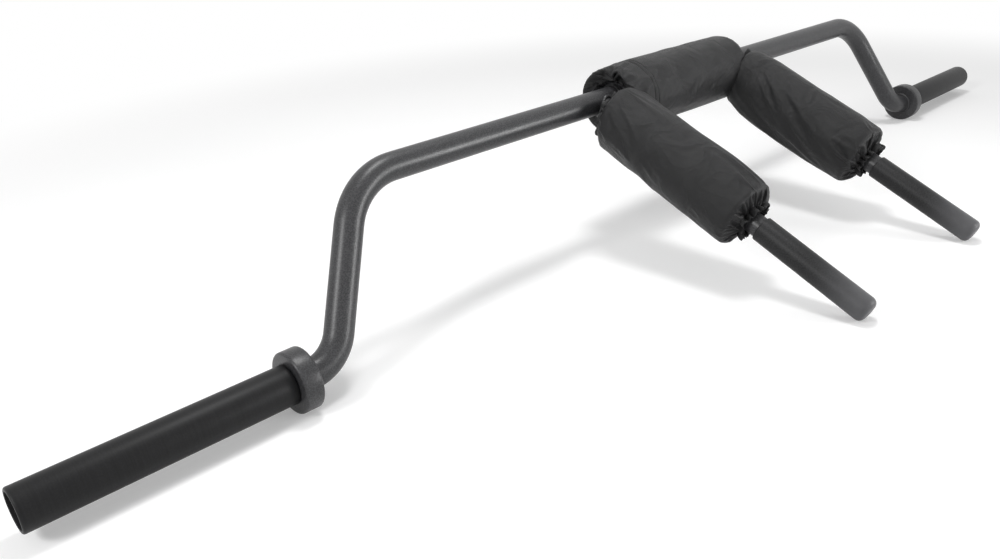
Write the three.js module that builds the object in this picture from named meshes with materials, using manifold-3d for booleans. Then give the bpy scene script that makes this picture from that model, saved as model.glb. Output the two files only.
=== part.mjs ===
import * as THREE from "three";
import { mergeVertices } from "three/addons/utils/BufferGeometryUtils.js";
import Module from "manifold-3d";

// A safety squat bar in millimetres. +X runs along the bar, +Z is up and the arms reach towards -Y.
// It lies as it does on a floor, on its two collars and the two grip tips.
// Left is -X and right is +X, seen from the side that the grips point to.

const wasm = await Module();
wasm.setup();

// Driving dimensions of the bent shaft
const shaft = {
  radius: 19,
  wall: 4,
  straightHalf: 652,
  riserRun: 106,
  riserForward: 76,
  riserDrop: 191,
  upperBendRadius: 100,
  lowerBendRadius: 60,
  outerSides: 24,
  innerSides: 12,
  bendSteps: 7,
};

// Driving dimensions of what is on each end of the shaft
const end = {
  collarSetOut: 41,
  collarWidth: 25,
  collarStep: 14,
  collarChamfer: 3,
  collarWeldLeg: 4,
  collarRecess: 1,
  washerThickness: 1.5,
  washerSetIn: 3,
  sleeveLength: 304,
  sleeveWall: 4,
  sleeveChamfer: 1.5,
  sleeveMouthChamfer: 1,
  recessDepth: 8,
  bushingWall: 1.6,
  bushingLength: 40,
  plateThickness: 4,
  plugLength: 32,
  boltRadius: 5,
  boltLength: 26,
  boltHeadRadius: 8.5,
  boltHeadHeight: 5,
  socketRadius: 3.5,
  socketDepth: 3,
};

// Driving dimensions of an arm, measured along it from the shaft's axis
const arm = {
  spacing: 358,
  radius: 16,
  wall: 4,
  reach: 518,
  tipThickness: 7,
  bareLength: 9.5,
  weldStart: 9,
  weldEnd: 24,
  weldWidth: 4.5,
};

const grip = {
  length: 186,
  wall: 2.5,
  edgeRound: 1.2,
  tipRound: 6,
};

// Driving dimensions of the padding
const pad = {
  neckFoamThickness: 31.5,
  armFoamThickness: 35,
  foamSlit: 3,
  coverThickness: 1.2,
  coverEase: 0.6,
  elasticRadius: 1.3,
  neckFunnelDepth: 22,
  neckShoulder: 12,
  armFrontGather: 22,
  armRearGather: 7,
  foamSetIn: 4,
  pleats: 9,
  pleatDepth: 2.2,
  stepsPerPleat: 4,
  stripWidth: 25,
  stripThickness: 0.9,
  stripSetIn: 14,
};

// Clearances: seat is left between pieces that are fixed to each other, running between pieces that turn
const gap = {
  seat: 0.3,
  running: 0.15,
  axial: 0.5,
  soft: 1.5,
};

const roundSides = 32;
const smallSides = 16;
const elasticSides = 6;
const socketSides = 6;
const tipSteps = 3;
const stripSteps = 6;
const cutOverrun = 2;
const mergeTolerance = 1e-3;

// Shares of a piece's own sizes
const weldToeShare = 0.25;
const boltCrownShare = 0.5;

const colours = {
  powderCoat: { color: 0x3b3c3e, roughness: 0.62, metalness: 0.2 },
  satinSleeve: { color: 0x2c2d2f, roughness: 0.48, metalness: 0.3 },
  bareSteel: { color: 0x8c9095, roughness: 0.4, metalness: 0.9 },
  bronze: { color: 0x9a7440, roughness: 0.45, metalness: 0.9 },
  gripRubber: { color: 0x2f3032, roughness: 0.85, metalness: 0 },
  nylon: { color: 0x1d1e20, roughness: 0.7, metalness: 0 },
  foam: { color: 0x4a4b4d, roughness: 0.95, metalness: 0 },
  elastic: { color: 0x18181a, roughness: 0.9, metalness: 0 },
  closure: { color: 0x151517, roughness: 0.95, metalness: 0 },
};

const materials = Object.fromEntries(
  Object.entries(colours).map(([name, look]) => [name, new THREE.MeshStandardMaterial(look)]),
);

// The circle through the corners of a faceted bore whose flats clear a round of the given radius
const boreOver = (radius, clearance, sides = roundSides) =>
  (radius + clearance) / Math.cos(Math.PI / sides);

// Where the neck cover closes, as a turn about the shaft from straight back
const closureAngle = -Math.PI / 4;

const mix = (from, to, share) => from + (to - from) * share;

// Sizes that follow from the driving ones
const sleeveBore = boreOver(boreOver(shaft.radius, gap.running) + end.bushingWall, gap.running);
const sleeveRadius = sleeveBore + end.sleeveWall;
const collarRadius = sleeveRadius + end.collarStep;
const shaftBore = shaft.radius - shaft.wall;
const shaftHeight = collarRadius + shaft.riserDrop;
const collarInboard = shaft.straightHalf + shaft.riserRun + end.collarSetOut;
const collarOutboard = collarInboard + end.collarWidth;
const collarSeat = collarOutboard - end.collarRecess;
const sleeveInboard = collarSeat + end.washerThickness + gap.seat;
const sleeveOutboard = sleeveInboard + end.sleeveLength;
const plateOutboard = sleeveOutboard - end.recessDepth;
const plateInboard = plateOutboard - end.plateThickness;
const shaftEnd = plateInboard - gap.seat;
const gripRadius = boreOver(arm.radius, gap.seat) + grip.wall;
const armEnd = arm.reach - arm.tipThickness;
const elasticRing = (tubeRadius) => tubeRadius + gap.seat + pad.elasticRadius;
const coverMouth = (tubeRadius) => elasticRing(tubeRadius) + pad.elasticRadius + gap.seat + pad.coverThickness / 2;
const neckFoamRadius = shaft.radius + pad.neckFoamThickness;
const armFoamRadius = arm.radius + pad.armFoamThickness;
const coverOver = (radius) => radius + gap.seat + pad.coverEase + pad.coverThickness;
const neckCoverRadius = coverOver(neckFoamRadius + 2 * (gap.seat + pad.stripThickness));
const armCoverRadius = coverOver(armFoamRadius);
const neckHalf = arm.spacing / 2 - arm.radius - gap.soft;
const armCoverStart = neckCoverRadius + gap.soft;
const armCoverEnd = arm.reach - grip.length - arm.bareLength;

// The arms slope so that the rounded edge of each grip tip touches the floor
const tipAlong = arm.reach - grip.tipRound;
const tipAcross = gripRadius - grip.tipRound;
const armSlope =
  Math.asin((shaftHeight - grip.tipRound) / Math.hypot(tipAlong, tipAcross)) - Math.atan2(tipAcross, tipAlong);

// A closed mesh as a solid: position alone, shared corners merged, no empty triangle, faces pointing out
function solidOf(geometry) {
  const loose = geometry.index ? geometry.toNonIndexed() : geometry.clone();
  loose.deleteAttribute("normal");
  loose.deleteAttribute("uv");
  const merged = mergeVertices(loose, mergeTolerance);
  const corners = merged.index.array;
  const kept = [];
  for (let i = 0; i < corners.length; i += 3) {
    const [a, b, c] = [corners[i], corners[i + 1], corners[i + 2]];
    if (a !== b && b !== c && c !== a) kept.push(a, b, c);
  }
  const build = (order) =>
    new wasm.Manifold(
      new wasm.Mesh({
        numProp: 3,
        vertProperties: new Float32Array(merged.attributes.position.array),
        triVerts: new Uint32Array(order),
      }),
    );
  const made = build(kept);
  return made.volume() < 0 ? build(kept.reverse()) : made;
}

function geometryOf(solid) {
  const mesh = solid.getMesh();
  const geometry = new THREE.BufferGeometry();
  geometry.setAttribute("position", new THREE.BufferAttribute(new Float32Array(mesh.vertProperties), mesh.numProp));
  geometry.setIndex(new THREE.BufferAttribute(new Uint32Array(mesh.triVerts), 1));
  const flat = geometry.toNonIndexed();
  flat.computeVertexNormals();
  return flat;
}

function piece(name, geometry, material) {
  const mesh = new THREE.Mesh(geometryOf(solidOf(geometry)), material);
  mesh.name = name;
  return mesh;
}

// Turns a closed outline of [along, radius] pairs about the X axis
function turned(outline, sides = roundSides) {
  const points = [...outline, outline[0]].map(([along, radius]) => new THREE.Vector2(radius, along));
  return new THREE.LatheGeometry(points, sides).rotateZ(-Math.PI / 2);
}

const tubeOutline = (from, to, outer, inner) => [
  [from, outer],
  [to, outer],
  [to, inner],
  [from, inner],
];

const rodOutline = (from, to, radius) => [
  [from, 0],
  [from, radius],
  [to, radius],
  [to, 0],
];

// A line whose points are given stations, so a straight run costs one step and a bend a few
class StationLine extends THREE.Curve {
  constructor(stations) {
    super();
    this.stations = stations;
  }
  stationAt(share) {
    return this.stations[Math.round(share * (this.stations.length - 1))];
  }
  getPointAt(share, target = new THREE.Vector3()) {
    return target.copy(this.stationAt(share).place);
  }
  getTangentAt(share, target = new THREE.Vector3()) {
    return target.copy(this.stationAt(share).heading);
  }
}

// Straight runs between corners, with an arc of the given radius at each inner corner
function bentLine(corners, radii, bendSteps) {
  const headings = corners.slice(1).map((corner, i) => corner.clone().sub(corners[i]).normalize());
  const stations = [{ place: corners[0], heading: headings[0] }];
  radii.forEach((radius, i) => {
    const [before, after] = [headings[i], headings[i + 1]];
    const turn = before.angleTo(after);
    const axis = before.clone().cross(after).normalize();
    const inward = axis.clone().cross(before);
    const start = corners[i + 1].clone().addScaledVector(before, -radius * Math.tan(turn / 2));
    const centre = start.clone().addScaledVector(inward, radius);
    for (let step = 0; step <= bendSteps; step += 1) {
      const angle = (turn * step) / bendSteps;
      const spoke = inward.clone().multiplyScalar(-radius).applyAxisAngle(axis, angle);
      stations.push({ place: centre.clone().add(spoke), heading: before.clone().applyAxisAngle(axis, angle) });
    }
  });
  stations.push({ place: corners.at(-1), heading: headings.at(-1) });
  return new StationLine(stations);
}

function ring(radius, sides) {
  return Array.from({ length: sides }, (_, i) => {
    const angle = (2 * Math.PI * i) / sides;
    return new THREE.Vector2(radius * Math.cos(angle), radius * Math.sin(angle));
  });
}

// The bent tube, from the end of one sleeve bearing to the other
function shaftGeometry() {
  const half = [
    [shaftEnd, shaft.riserForward, shaft.riserDrop],
    [shaft.straightHalf + shaft.riserRun, shaft.riserForward, shaft.riserDrop],
    [shaft.straightHalf, 0, 0],
  ];
  const place = (side, [along, forward, drop]) => new THREE.Vector3(side * along, -forward, -drop);
  const corners = [...half.map((point) => place(-1, point)), ...half.map((point) => place(1, point)).reverse()];
  const radii = [shaft.lowerBendRadius, shaft.upperBendRadius, shaft.upperBendRadius, shaft.lowerBendRadius];
  const path = bentLine(corners, radii, shaft.bendSteps);
  const section = new THREE.Shape(ring(shaft.radius, shaft.outerSides));
  section.holes.push(new THREE.Path(ring(boreOver(shaftBore, 0, shaft.innerSides), shaft.innerSides).reverse()));
  return new THREE.ExtrudeGeometry(section, { steps: path.stations.length - 1, extrudePath: path });
}

// Ring collar, chamfered on both edges, its outboard face recessed for the washer and the sleeve's end
function collarGeometry() {
  const bore = boreOver(shaft.radius, gap.seat);
  const recess = sleeveRadius + gap.axial;
  return turned([
    [collarInboard, collarRadius - end.collarChamfer],
    [collarInboard + end.collarChamfer, collarRadius],
    [collarOutboard - end.collarChamfer, collarRadius],
    [collarOutboard, collarRadius - end.collarChamfer],
    [collarOutboard, recess],
    [collarSeat, recess],
    [collarSeat, bore],
    [collarInboard, bore],
  ]);
}

// Fillet weld between the collar's inboard face and the shaft
function collarWeldGeometry() {
  const bore = boreOver(shaft.radius, gap.seat);
  const face = collarInboard - gap.seat;
  return turned(
    [
      [face - end.collarWeldLeg, bore + end.collarWeldLeg * weldToeShare],
      [face, bore + end.collarWeldLeg],
      [face, bore],
      [face - end.collarWeldLeg, bore],
    ],
    smallSides,
  );
}

function thrustWasherGeometry() {
  const outer = sleeveRadius - end.washerSetIn;
  const bore = boreOver(shaft.radius, gap.seat);
  return turned(tubeOutline(collarSeat, collarSeat + end.washerThickness, outer, bore));
}

// Loading sleeve, an open tube with a chamfer outside and inside its mouth
function sleeveGeometry() {
  return turned([
    [sleeveInboard, sleeveRadius],
    [sleeveOutboard - end.sleeveChamfer, sleeveRadius],
    [sleeveOutboard, sleeveRadius - end.sleeveChamfer],
    [sleeveOutboard, sleeveBore + end.sleeveMouthChamfer],
    [sleeveOutboard - end.sleeveMouthChamfer, sleeveBore],
    [sleeveInboard, sleeveBore],
  ]);
}

function bushingGeometry(from) {
  const inner = boreOver(shaft.radius, gap.running);
  return turned(tubeOutline(from, from + end.bushingLength, inner + end.bushingWall, inner));
}

// Plug in the tube's end, drilled for the bolt
function plugGeometry() {
  const bolt = boreOver(end.boltRadius, gap.seat, smallSides);
  return turned(tubeOutline(shaftEnd - end.plugLength, shaftEnd, shaftBore - gap.seat, bolt), smallSides);
}

// Disc that keeps the sleeve on, set back inside its mouth
function plateGeometry() {
  const outer = sleeveBore * Math.cos(Math.PI / roundSides) - gap.running;
  return turned(tubeOutline(plateInboard, plateOutboard, outer, boreOver(end.boltRadius, gap.seat)));
}

// Round-headed bolt with a six-sided socket
function boltGeometry() {
  const seat = plateOutboard + gap.seat;
  const top = seat + end.boltHeadHeight;
  const shape = turned(
    [
      [seat - end.boltLength, 0],
      [seat - end.boltLength, end.boltRadius],
      [seat, end.boltRadius],
      [seat, end.boltHeadRadius],
      [mix(seat, top, boltCrownShare), end.boltHeadRadius],
      [top, mix(end.socketRadius, end.boltHeadRadius, boltCrownShare)],
      [top, 0],
    ],
    smallSides,
  );
  const socket = turned(rodOutline(top - end.socketDepth, top + cutOverrun, end.socketRadius), socketSides);
  return geometryOf(solidOf(shape).subtract(solidOf(socket)));
}

// A round across the arm, along local Y, that clears the shaft it is fitted to
function shaftCutter() {
  const half = arm.radius + arm.weldWidth + cutOverrun;
  const radius = boreOver(shaft.radius, gap.seat);
  return solidOf(turned(rodOutline(-half, half, radius)).rotateZ(Math.PI / 2));
}

// Arm tube, coped to sit on the shaft, open at its tip under the grip
function armGeometry() {
  const tube = solidOf(turned(tubeOutline(0, armEnd, arm.radius, arm.radius - arm.wall)));
  return geometryOf(tube.subtract(shaftCutter()));
}

// Saddle weld round the arm's coped end
function armWeldGeometry() {
  const bead = solidOf(
    turned([
      [arm.weldStart, arm.radius + arm.weldWidth],
      [arm.weldEnd, arm.radius + arm.weldWidth * weldToeShare],
      [arm.weldEnd, boreOver(arm.radius, gap.seat)],
      [arm.weldStart, boreOver(arm.radius, gap.seat)],
    ]),
  );
  return geometryOf(bead.subtract(shaftCutter()));
}

// Rubber grip with a rounded rear edge and a closed, rounded tip
function gripGeometry() {
  const rear = arm.reach - grip.length;
  const bore = boreOver(arm.radius, gap.seat);
  const tip = Array.from({ length: tipSteps + 1 }, (_, i) => {
    const angle = (Math.PI / 2) * (i / tipSteps);
    return [tipAlong + grip.tipRound * Math.sin(angle), tipAcross + grip.tipRound * Math.cos(angle)];
  });
  return turned([
    [rear, gripRadius - grip.edgeRound],
    [rear + grip.edgeRound, gripRadius],
    ...tip,
    [arm.reach, 0],
    [armEnd + gap.seat, 0],
    [armEnd + gap.seat, bore],
    [rear, bore],
  ]);
}

// Foam tube for an arm
function armFoamGeometry() {
  const inner = boreOver(arm.radius, gap.seat);
  const from = armCoverStart + pad.armRearGather + pad.foamSetIn;
  const to = armCoverEnd - pad.armFrontGather - pad.foamSetIn;
  return turned(tubeOutline(from, to, armFoamRadius, inner));
}

// Foam tube for the neck, slit along its underside so that it can be put round the shaft
function neckFoamGeometry() {
  const inner = boreOver(shaft.radius, gap.seat);
  const outer = neckFoamRadius;
  const half = neckHalf - pad.neckFunnelDepth - pad.foamSetIn;
  const tube = solidOf(turned(tubeOutline(-half, half, outer, inner)));
  const slit = solidOf(
    new THREE.BoxGeometry(2 * (half + cutOverrun), pad.foamSlit, outer + cutOverrun).translate(
      0,
      0,
      -(outer + cutOverrun) / 2,
    ),
  );
  return geometryOf(tube.subtract(slit));
}

// Shares of an end's depth and of the rise from its mouth to the full radius, from the mouth outwards
const gatheredEndShares = [
  [0, 0],
  [0.08, 0.22],
  [0.24, 0.47],
  [0.5, 0.72],
  [0.78, 0.92],
  [1, 1],
];

// The same for a funnelled end: back from its mouth to the rim, then along the shoulder
const funnelShares = [
  [1, 0],
  [0.72, 0.22],
  [0.36, 0.48],
  [0.06, 0.74],
  [0, 0.86],
];
const shoulderShares = [
  [0.22, 0.96],
  [1, 1],
];

// Pleats are deepest halfway up the rise and run out at the mouth and at the full radius
const pleatFullness = (riseShare) => 4 * riseShare * (1 - riseShare);

// One end of a cover as [set in from its tip, radius, how far its pleats show]
function gatheredEnd(depth, mouth, full) {
  return gatheredEndShares.map(([inShare, riseShare]) => [
    depth * inShare,
    mix(mouth, full, riseShare),
    pleatFullness(riseShare),
  ]);
}

function funnelledEnd(depth, shoulder, mouth, full) {
  const funnel = funnelShares.map(([inShare, riseShare]) => [
    depth * inShare,
    mix(mouth, full, riseShare),
    pleatFullness(riseShare),
  ]);
  const edge = shoulderShares.map(([inShare, riseShare]) => [shoulder * inShare, mix(mouth, full, riseShare), 0]);
  return [...funnel, ...edge];
}

// Moves an outline by the cloth's thickness, towards its foam side
function offsetOutline(outline, thickness) {
  return outline.map(([along, radius, pleat], i) => {
    const before = outline[Math.max(i - 1, 0)];
    const after = outline[Math.min(i + 1, outline.length - 1)];
    const run = new THREE.Vector2(after[0] - before[0], after[1] - before[1]).normalize();
    return [along + run.y * thickness, radius - run.x * thickness, pleat];
  });
}

// A sewn tube of cloth: its two ends drawn in, its wall closed on itself, pleats rippling the gathered ends
function coverGeometry(rearEnd, frontEnd, from, to) {
  const outside = [
    ...rearEnd.map(([setIn, radius, pleat]) => [from + setIn, radius, pleat]),
    ...frontEnd.map(([setIn, radius, pleat]) => [to - setIn, radius, pleat]).reverse(),
  ];
  const loop = [...outside, ...offsetOutline(outside, pad.coverThickness).reverse()];
  const around = pad.pleats * pad.stepsPerPleat;
  const places = [];
  const faces = [];
  loop.forEach(([along, radius, pleat], i) => {
    for (let j = 0; j < around; j += 1) {
      const angle = (2 * Math.PI * j) / around;
      const reach = radius - pleat * pad.pleatDepth * (1 - Math.cos(pad.pleats * angle)) / 2;
      places.push(along, reach * Math.cos(angle), reach * Math.sin(angle));
      const next = (i + 1) % loop.length;
      const turn = (j + 1) % around;
      const [a, b, c, d] = [i * around + j, next * around + j, next * around + turn, i * around + turn];
      faces.push(a, b, c, a, c, d);
    }
  });
  const geometry = new THREE.BufferGeometry();
  geometry.setAttribute("position", new THREE.BufferAttribute(new Float32Array(places), 3));
  geometry.setIndex(faces);
  return geometry;
}

function armCoverGeometry() {
  const mouth = coverMouth(arm.radius);
  return coverGeometry(
    gatheredEnd(pad.armRearGather, mouth, armCoverRadius),
    gatheredEnd(pad.armFrontGather, mouth, armCoverRadius),
    armCoverStart,
    armCoverEnd,
  );
}

function neckCoverGeometry() {
  const edge = funnelledEnd(pad.neckFunnelDepth, pad.neckShoulder, coverMouth(shaft.radius), neckCoverRadius);
  return coverGeometry(edge, edge, -neckHalf, neckHalf);
}

// Elastic cord drawn up in a hem, round a tube at a place along it
function elasticGeometry(tubeRadius, along) {
  const cord = ring(pad.elasticRadius, elasticSides).map((point) => [along + point.y, elasticRing(tubeRadius) + point.x]);
  return turned(cord, smallSides);
}

// One strip of the neck cover's closure, curved round the foam at its back and underside
function stripGeometry(level) {
  const inner = neckFoamRadius + gap.seat + level * (pad.stripThickness + gap.seat);
  const outer = inner + pad.stripThickness;
  const halfAngle = pad.stripWidth / (2 * inner);
  const section = new THREE.Shape();
  section.absarc(0, 0, outer, closureAngle - halfAngle, closureAngle + halfAngle, false);
  section.absarc(0, 0, inner, closureAngle + halfAngle, closureAngle - halfAngle, true);
  const length = 2 * (neckHalf - pad.neckFunnelDepth - pad.stripSetIn);
  const strip = new THREE.ExtrudeGeometry(section, { depth: length, bevelEnabled: false, curveSegments: stripSteps });
  return strip.translate(0, 0, -length / 2).rotateX(Math.PI / 2).rotateZ(Math.PI / 2);
}

// Everything on one end of the shaft, built along +X and turned half round for the left
function buildEnd(label, side) {
  const group = new THREE.Group();
  group.add(
    piece(label + "_collar", collarGeometry(), materials.powderCoat),
    piece(label + "_collar_weld", collarWeldGeometry(), materials.powderCoat),
    piece(label + "_thrust_washer", thrustWasherGeometry(), materials.bareSteel),
    piece(label + "_sleeve", sleeveGeometry(), materials.satinSleeve),
    piece(label + "_inner_bushing", bushingGeometry(sleeveInboard), materials.bronze),
    piece(label + "_outer_bushing", bushingGeometry(plateInboard - gap.axial - end.bushingLength), materials.bronze),
    piece(label + "_end_plug", plugGeometry(), materials.bareSteel),
    piece(label + "_end_plate", plateGeometry(), materials.satinSleeve),
    piece(label + "_end_bolt", boltGeometry(), materials.bareSteel),
  );
  group.position.set(0, -shaft.riserForward, -shaft.riserDrop);
  group.rotation.z = side < 0 ? Math.PI : 0;
  return group;
}

// One arm with its grip and padding, built along +X, then turned forward and down
function buildArm(label, side) {
  const along = new THREE.Group();
  const mouthSetIn = pad.elasticRadius;
  along.add(
    piece(label + "_arm", armGeometry(), materials.powderCoat),
    piece(label + "_arm_weld", armWeldGeometry(), materials.powderCoat),
    piece(label + "_grip", gripGeometry(), materials.gripRubber),
    piece(label + "_arm_foam", armFoamGeometry(), materials.foam),
    piece(label + "_arm_cover", armCoverGeometry(), materials.nylon),
    piece(label + "_arm_elastic_rear", elasticGeometry(arm.radius, armCoverStart + mouthSetIn), materials.elastic),
    piece(label + "_arm_elastic_front", elasticGeometry(arm.radius, armCoverEnd - mouthSetIn), materials.elastic),
  );
  along.rotation.z = -Math.PI / 2;
  const sloped = new THREE.Group();
  sloped.add(along);
  sloped.rotation.x = armSlope;
  sloped.position.x = (side * arm.spacing) / 2;
  return sloped;
}

function buildNeckPad() {
  const group = new THREE.Group();
  const mouthAt = neckHalf - pad.neckFunnelDepth;
  group.add(
    piece("neck_foam", neckFoamGeometry(), materials.foam),
    piece("neck_loop_strip", stripGeometry(0), materials.closure),
    piece("neck_hook_strip", stripGeometry(1), materials.closure),
    piece("neck_cover", neckCoverGeometry(), materials.nylon),
    piece("neck_elastic_left", elasticGeometry(shaft.radius, -mouthAt), materials.elastic),
    piece("neck_elastic_right", elasticGeometry(shaft.radius, mouthAt), materials.elastic),
  );
  return group;
}

const sides = [
  ["left", -1],
  ["right", 1],
];

// All pieces round the shaft's axis, then set on the floor with the middle of their depth on the origin
function buildBar() {
  const pieces = new THREE.Group();
  pieces.add(piece("bar_shaft", shaftGeometry(), materials.powderCoat), buildNeckPad());
  for (const [label, side] of sides) pieces.add(buildEnd(label, side), buildArm(label, side));
  const bar = new THREE.Group();
  bar.add(pieces);
  bar.updateMatrixWorld(true);
  const extent = new THREE.Box3().setFromObject(bar, true);
  pieces.position.set(0, -(extent.min.y + extent.max.y) / 2, -extent.min.z);
  return bar;
}

const safetySquatBar = buildBar();

export default safetySquatBar;
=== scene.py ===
import math
import random

import bmesh
import bpy
import numpy as np
from mathutils import Matrix, Vector


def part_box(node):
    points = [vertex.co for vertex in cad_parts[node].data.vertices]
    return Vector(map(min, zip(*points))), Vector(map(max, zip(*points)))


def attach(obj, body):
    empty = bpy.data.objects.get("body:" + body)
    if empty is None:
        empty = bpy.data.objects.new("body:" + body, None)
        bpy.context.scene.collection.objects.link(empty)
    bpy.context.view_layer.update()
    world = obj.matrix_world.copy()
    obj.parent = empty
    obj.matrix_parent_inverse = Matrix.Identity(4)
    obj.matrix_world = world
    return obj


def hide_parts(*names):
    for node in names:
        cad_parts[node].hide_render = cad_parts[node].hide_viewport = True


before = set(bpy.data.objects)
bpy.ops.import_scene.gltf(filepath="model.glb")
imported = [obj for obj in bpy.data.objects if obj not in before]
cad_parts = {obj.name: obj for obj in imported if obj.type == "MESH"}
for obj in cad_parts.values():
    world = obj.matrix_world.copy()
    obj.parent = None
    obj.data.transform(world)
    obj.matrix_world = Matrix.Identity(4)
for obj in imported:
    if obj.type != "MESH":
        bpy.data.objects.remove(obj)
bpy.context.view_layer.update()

scene = bpy.context.scene
mm = 0.001
fullTurn = 2 * math.pi
sides = {"left": -1, "right": 1}  # left is -X, seen from the side that the grips point to


# Small tools that every piece uses

srgb = {"top": 255, "toe": 0.04045, "toeSlope": 12.92, "offset": 0.055, "power": 2.4}


def linear(hexColour):
    digits = hexColour.lstrip("#")
    shares = [int(digits[i:i + 2], 16) / srgb["top"] for i in (0, 2, 4)]
    bent = [((s + srgb["offset"]) / (1 + srgb["offset"])) ** srgb["power"] for s in shares]
    return [s / srgb["toeSlope"] if s <= srgb["toe"] else b for s, b in zip(shares, bent)] + [1.0]


def addNode(tree, kind, inputs=None, **settings):
    node = tree.nodes.new(kind)
    for name, value in settings.items():
        setattr(node, name, value)
    for name, value in (inputs or {}).items():
        if isinstance(value, bpy.types.NodeSocket):
            tree.links.new(value, node.inputs[name])
        else:
            node.inputs[name].default_value = value
    return node


def output(tree, kind, inputs=None, **settings):
    return addNode(tree, kind, inputs, **settings).outputs[0]


def maths(tree, operation, *values):
    return output(tree, "ShaderNodeMath", dict(enumerate(values)), operation=operation)


def between(tree, share, low, high):
    return output(tree, "ShaderNodeMapRange", {"Value": share, "To Min": low, "To Max": high})


def eased(tree, value, low, high):
    inputs = {"Value": value, "From Min": low, "From Max": high}
    return output(tree, "ShaderNodeMapRange", inputs, interpolation_type="SMOOTHSTEP")


def perMetre(sizeMm):  # the texture scale whose features are this big
    return 1 / (sizeMm * mm)


def mix(low, high, share):
    return low + (high - low) * share


def placeOf(origin, axis, side):  # local Z runs along axis, local X along side
    along = Vector(axis).normalized()
    across = Vector(side).normalized()
    turn = Matrix((across, along.cross(across), along)).transposed().to_4x4()
    return Matrix.Translation(Vector(origin)) @ turn


def newObject(name, data):
    made = bpy.data.objects.new(name, data)
    scene.collection.objects.link(made)
    return made


mesher = {"mergeMm": 0.02, "sharpAngle": 38, "arcSteps": 5}


def tidied(mesh):
    work = bmesh.new()
    work.from_mesh(mesh)
    bmesh.ops.remove_doubles(work, verts=work.verts, dist=mesher["mergeMm"] * mm)
    bmesh.ops.recalc_face_normals(work, faces=work.faces)
    work.to_mesh(mesh)
    work.free()
    mesh.shade_smooth()
    mesh.set_sharp_from_angle(angle=math.radians(mesher["sharpAngle"]))
    return mesh


def lofted(name, rings, closed=False, capped=False):  # rings of points in metres, joined in order
    count = len(rings[0])
    faces = []
    for i in range(len(rings) if closed else len(rings) - 1):
        here, after = i * count, (i + 1) % len(rings) * count
        for j in range(count):
            k = (j + 1) % count
            faces.append((here + j, here + k, after + k, after + j))
    if capped:
        faces.append(tuple(range(count))[::-1])
        faces.append(tuple(range((len(rings) - 1) * count, len(rings) * count)))
    mesh = bpy.data.meshes.new(name)
    mesh.from_pydata([tuple(p) for ring in rings for p in ring], [], faces)
    return mesh


def circleAt(along, radius, count, shape=None):
    turns = [fullTurn * i / count for i in range(count)]
    reach = [radius * (shape(t) if shape else 1) for t in turns]
    return [(r * math.cos(t) * mm, r * math.sin(t) * mm, along * mm) for r, t in zip(reach, turns)]


def roundedOutline(corners):  # corners are (along, radius, rounding) in mm, all the way round
    outline = []
    for i, (along, radius, rounding) in enumerate(corners):
        here = Vector((along, radius))
        if rounding == 0:
            outline.append((along, radius))
            continue
        before = (Vector(corners[i - 1][:2]) - here).normalized()
        after = (Vector(corners[(i + 1) % len(corners)][:2]) - here).normalized()
        half = before.angle(after) / 2
        centre = here + (before + after).normalized() * (rounding / math.sin(half))
        reach = rounding / math.tan(half)
        start = here + before * reach - centre
        end = here + after * reach - centre
        turn = start.angle(end)
        for step in range(mesher["arcSteps"] + 1):
            share = step / mesher["arcSteps"]
            first = math.sin((1 - share) * turn) / math.sin(turn)
            second = math.sin(share * turn) / math.sin(turn)
            outline.append(tuple(centre + start * first + end * second))
    return outline


def turnedPiece(name, corners, count, place):
    rings = [circleAt(along, radius, count) for along, radius in roundedOutline(corners)]
    mesh = lofted(name, rings, closed=True)
    mesh.transform(place)
    return newObject(name, tidied(mesh))


def boredPiece(name, ends, radii, rounding, count, place):
    # radii: bore, rim. Roundings go from the bore at the first end round to the bore at the last
    corners = zip((ends[0], ends[0], ends[1], ends[1]), (radii[0], radii[1], radii[1], radii[0]), rounding)
    return turnedPiece(name, list(corners), count, place)


def dressed(piece, finish, slotName, *nodes, body="frame"):
    piece.data.materials.clear()
    piece.data.materials.append(finishes[finish])
    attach(piece, body)
    if nodes:
        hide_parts(*nodes)


# Small tools for Geometry Nodes


def newTree(name, sockets):
    tree = bpy.data.node_groups.new(name, "GeometryNodeTree")
    tree.interface.new_socket(name="Geometry", in_out="INPUT", socket_type="NodeSocketGeometry")
    for label, kind in sockets.items():
        tree.interface.new_socket(name=label, in_out="INPUT", socket_type="NodeSocket" + kind)
    tree.interface.new_socket(name="Geometry", in_out="OUTPUT", socket_type="NodeSocketGeometry")
    return tree, tree.nodes.new("NodeGroupInput").outputs


def evenSteps(tree, source, step):
    line = output(tree, "GeometryNodeMeshToCurve", {"Mesh": source})
    return output(tree, "GeometryNodeResampleCurve", {"Curve": line, "Length": step}, mode="LENGTH")


def sweptRound(tree, line, count, scale, radius):
    section = output(tree, "GeometryNodeCurvePrimitiveCircle", {"Resolution": count, "Radius": radius})
    inputs = {"Curve": line, "Profile Curve": section, **scale, "Fill Caps": True}
    return output(tree, "GeometryNodeCurveToMesh", inputs)


def endTree(tree, geometry, finish):
    real = output(tree, "GeometryNodeRealizeInstances", {"Geometry": geometry})
    smooth = output(tree, "GeometryNodeSetShadeSmooth", {0: real})
    coated = output(tree, "GeometryNodeSetMaterial", {"Geometry": smooth, "Material": finish})
    tree.links.new(coated, tree.nodes.new("NodeGroupOutput").inputs[0])


def grown(name, source, tree, values):  # runs the tree on the source and keeps a plain mesh of it
    modifier = source.modifiers.new("shape", "NODES")
    modifier.node_group = tree
    for item in tree.interface.items_tree:
        if item.in_out == "INPUT" and item.name in values:
            modifier[item.identifier] = values[item.name]
    bpy.context.view_layer.update()
    graph = bpy.context.evaluated_depsgraph_get()
    mesh = bpy.data.meshes.new_from_object(source.evaluated_get(graph), depsgraph=graph)
    mesh.name = name
    bpy.data.objects.remove(source)
    return newObject(name, mesh)


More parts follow.
